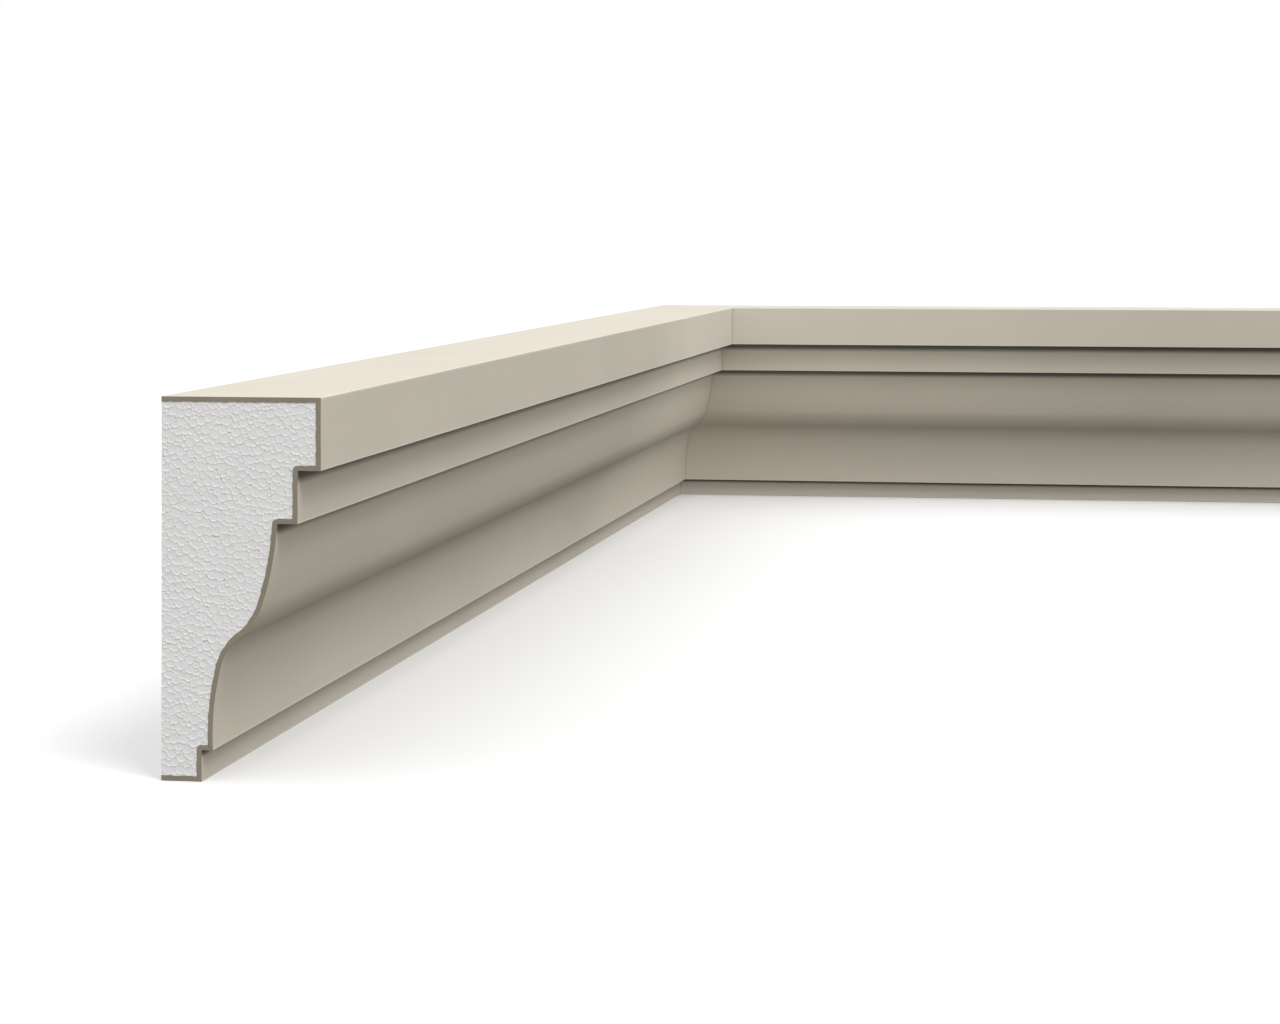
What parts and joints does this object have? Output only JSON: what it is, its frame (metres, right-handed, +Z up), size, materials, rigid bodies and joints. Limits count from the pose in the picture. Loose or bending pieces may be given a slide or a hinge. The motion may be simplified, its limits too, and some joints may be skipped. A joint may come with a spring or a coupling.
{
  "type": "cornice moulding inside corner",
  "caption": "Inside corner of coated foam cornice moulding: stepped fascia and fillet over a cyma reversa, mitred where the walls meet and cut square at its ends.",
  "frame": {"origin": "middle of the bounding box, on the plane of the underside that the moulding stands on", "axes": "+Z up the wall; the long run lies along Y with its back facing -X; the short run lies along X with its back facing +Y"},
  "size_m": [1, 1.78, 0.21],
  "materials": {
    "coat": "matte",
    "foam": "matte"
  },
  "bodies": {
    "root": {"long_run_foam_core": "foam", "long_run_coat": "coat", "short_run_foam_core": "foam", "short_run_coat": "coat"}
  },
  "joints": []
}
